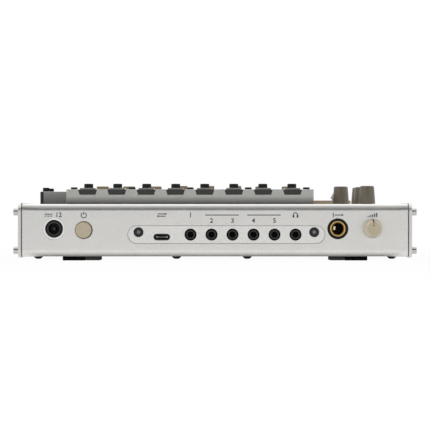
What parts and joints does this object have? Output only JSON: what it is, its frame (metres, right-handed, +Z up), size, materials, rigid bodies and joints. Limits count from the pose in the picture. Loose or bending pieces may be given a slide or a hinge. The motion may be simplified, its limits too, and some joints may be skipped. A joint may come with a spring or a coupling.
{
  "type": "hybrid synthesizer",
  "caption": "Flat desktop synthesizer: silver wrap chassis with clamped steel tongues on a grey bridge, beige sliders, knobs and keys, and a row of rear sockets.",
  "frame": {"origin": "on the table under the middle of the whole instrument", "axes": "+Z up, the player sits at -Y, the rear connectors face +Y, +X is the player's right"},
  "size_m": [0.231, 0.2264, 0.0448],
  "materials": {
    "silver_wrap": "bead blasted, clear anodised",
    "cheek_silver": "satin",
    "base_steel": "matt",
    "polished_screw": "polished",
    "black_screw": "black oxide",
    "dark_shoe": "matt",
    "pad_rubber": "matt",
    "black_plastic": "satin",
    "socket_steel": "satin",
    "gold_brass": "polished",
    "beige_plastic": "fine grain",
    "control_beige": "fine grain",
    "board": "solder mask",
    "control_body": "satin",
    "bridge_grey": "satin grey",
    "saddle_dark": "matt",
    "tongue_steel": "ground",
    "deck_dark": "fine grain",
    "lever_grey": "satin"
  },
  "bodies": {
    "chassis": {"chassis_shell": "silver_wrap", "base_plate": "base_steel", "left_cheek": "cheek_silver", "right_cheek": "cheek_silver", "cheek_screws": "polished_screw", "base_screws": "black_screw", "foot_shoes": "dark_shoe", "foot_pads": "pad_rubber", "connector_plate": "silver_wrap", "connector_plate_screws": "black_screw", "dc_jack": "black_plastic", "dc_pin": "socket_steel", "usb_socket": "socket_steel", "minijacks": "black_plastic", "output_jack": "black_plastic", "output_bushing": "gold_brass", "jack_board": "board", "main_board": "board", "rotary_pots": "control_body", "slide_pots": "control_body", "switches": "control_body", "bridge": "bridge_grey", "bridge_screws": "black_screw", "clamp_seats": "saddle_dark", "clamp_screws": "black_screw", "drivers": "black_plastic", "deck": "deck_dark", "deck_screws": "black_screw", "control_plate": "control_beige", "resonator_1": "tongue_steel", "resonator_2": "tongue_steel", "resonator_3": "tongue_steel", "resonator_4": "tongue_steel", "resonator_5": "tongue_steel", "resonator_6": "tongue_steel", "resonator_7": "tongue_steel", "resonator_8": "tongue_steel"},
    "power_button": {"power_button": "beige_plastic"},
    "volume_knob": {"volume_knob": "beige_plastic"},
    "toggle_lever": {"toggle_lever": "lever_grey"},
    "knob_a": {"knob_a": "beige_plastic"},
    "knob_b": {"knob_b": "beige_plastic"},
    "knob_c": {"knob_c": "beige_plastic"},
    "knob_d": {"knob_d": "beige_plastic"},
    "slider_1": {"slider_1": "beige_plastic"},
    "slider_2": {"slider_2": "beige_plastic"},
    "slider_3": {"slider_3": "beige_plastic"},
    "slider_4": {"slider_4": "beige_plastic"},
    "slider_5": {"slider_5": "beige_plastic"},
    "slider_6": {"slider_6": "beige_plastic"},
    "slider_7": {"slider_7": "beige_plastic"},
    "slider_8": {"slider_8": "beige_plastic"},
    "key_1": {"key_1": "beige_plastic"},
    "key_2": {"key_2": "beige_plastic"},
    "key_3": {"key_3": "beige_plastic"},
    "key_4": {"key_4": "beige_plastic"},
    "key_5": {"key_5": "beige_plastic"},
    "key_6": {"key_6": "beige_plastic"},
    "key_7": {"key_7": "beige_plastic"},
    "key_8": {"key_8": "beige_plastic"}
  },
  "joints": [
    {"name": "power_press", "type": "slide", "parent": "chassis", "child": "power_button", "axis": [0, -1, 0], "range_m": [0, 0.0015], "stiffness_N_per_m": 400, "springref_m": -0.001},
    {"name": "volume_turn", "type": "hinge", "parent": "chassis", "child": "volume_knob", "pos_m": [-0.09, 0.1021, 0.01845], "axis": [0, 1, 0], "range_deg": [-140, 140]},
    {"name": "knob_a_turn", "type": "hinge", "parent": "chassis", "child": "knob_a", "pos_m": [-0.0761, 0.0281, 0.0325], "axis": [0, 0, 1], "range_deg": [-140, 140]},
    {"name": "knob_b_turn", "type": "hinge", "parent": "chassis", "child": "knob_b", "pos_m": [-0.0903, 0.0521, 0.0325], "axis": [0, 0, 1], "range_deg": [-140, 140]},
    {"name": "knob_c_turn", "type": "hinge", "parent": "chassis", "child": "knob_c", "pos_m": [-0.0903, 0.0041, 0.0325], "axis": [0, 0, 1], "range_deg": [-140, 140]},
    {"name": "knob_d_turn", "type": "hinge", "parent": "chassis", "child": "knob_d", "pos_m": [-0.0903, -0.0199, 0.0325], "axis": [0, 0, 1], "range_deg": [-140, 140]},
    {"name": "toggle_tip", "type": "hinge", "parent": "chassis", "child": "toggle_lever", "pos_m": [-0.0709, 0.0041, 0.0311], "axis": [0, 1, 0], "range_deg": [0, 48]},
    {"name": "slider_1_slide", "type": "slide", "parent": "chassis", "child": "slider_1", "axis": [0, 1, 0], "range_m": [-0.003, 0.027]},
    {"name": "slider_2_slide", "type": "slide", "parent": "chassis", "child": "slider_2", "axis": [0, 1, 0], "range_m": [-0.003, 0.027]},
    {"name": "slider_3_slide", "type": "slide", "parent": "chassis", "child": "slider_3", "axis": [0, 1, 0], "range_m": [-0.025, 0.005]},
    {"name": "slider_4_slide", "type": "slide", "parent": "chassis", "child": "slider_4", "axis": [0, 1, 0], "range_m": [-0.025, 0.005]},
    {"name": "slider_5_slide", "type": "slide", "parent": "chassis", "child": "slider_5", "axis": [0, 1, 0], "range_m": [-0.025, 0.005]},
    {"name": "slider_6_slide", "type": "slide", "parent": "chassis", "child": "slider_6", "axis": [0, 1, 0], "range_m": [-0.003, 0.027]},
    {"name": "slider_7_slide", "type": "slide", "parent": "chassis", "child": "slider_7", "axis": [0, 1, 0], "range_m": [-0.003, 0.027]},
    {"name": "slider_8_slide", "type": "slide", "parent": "chassis", "child": "slider_8", "axis": [0, 1, 0], "range_m": [-0.003, 0.027]},
    {"name": "key_1_press", "type": "slide", "parent": "chassis", "child": "key_1", "axis": [0, 0, -1], "range_m": [0, 0.001], "stiffness_N_per_m": 500, "springref_m": -0.001},
    {"name": "key_2_press", "type": "slide", "parent": "chassis", "child": "key_2", "axis": [0, 0, -1], "range_m": [0, 0.001], "stiffness_N_per_m": 500, "springref_m": -0.001},
    {"name": "key_3_press", "type": "slide", "parent": "chassis", "child": "key_3", "axis": [0, 0, -1], "range_m": [0, 0.001], "stiffness_N_per_m": 500, "springref_m": -0.001},
    {"name": "key_4_press", "type": "slide", "parent": "chassis", "child": "key_4", "axis": [0, 0, -1], "range_m": [0, 0.001], "stiffness_N_per_m": 500, "springref_m": -0.001},
    {"name": "key_5_press", "type": "slide", "parent": "chassis", "child": "key_5", "axis": [0, 0, -1], "range_m": [0, 0.001], "stiffness_N_per_m": 500, "springref_m": -0.001},
    {"name": "key_6_press", "type": "slide", "parent": "chassis", "child": "key_6", "axis": [0, 0, -1], "range_m": [0, 0.001], "stiffness_N_per_m": 500, "springref_m": -0.001},
    {"name": "key_7_press", "type": "slide", "parent": "chassis", "child": "key_7", "axis": [0, 0, -1], "range_m": [0, 0.001], "stiffness_N_per_m": 500, "springref_m": -0.001},
    {"name": "key_8_press", "type": "slide", "parent": "chassis", "child": "key_8", "axis": [0, 0, -1], "range_m": [0, 0.001], "stiffness_N_per_m": 500, "springref_m": -0.001}
  ]
}
